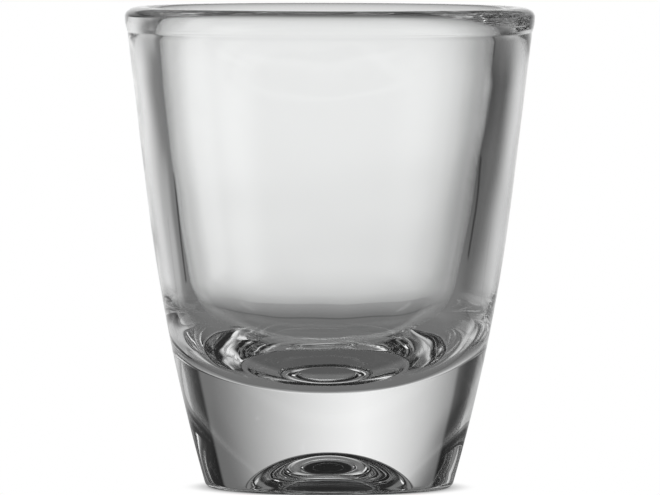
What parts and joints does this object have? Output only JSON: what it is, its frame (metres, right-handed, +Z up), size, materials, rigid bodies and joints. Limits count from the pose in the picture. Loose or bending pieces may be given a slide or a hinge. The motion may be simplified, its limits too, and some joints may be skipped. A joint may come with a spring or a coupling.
{
  "type": "liqueur glass",
  "caption": "Small tapered drinking glass with a beaded rim, round-bottomed bowl, thick clear base and a domed hollow under the foot.",
  "frame": {"origin": "the middle of the foot, on the surface that the glass stands on", "axes": "+Z up along the axis of revolution; +X and +Y are level and alike"},
  "size_m": [0.05, 0.05, 0.0586],
  "materials": {
    "clear_glass": "polished"
  },
  "bodies": {
    "root": {"glass_body": "clear_glass"}
  },
  "joints": []
}
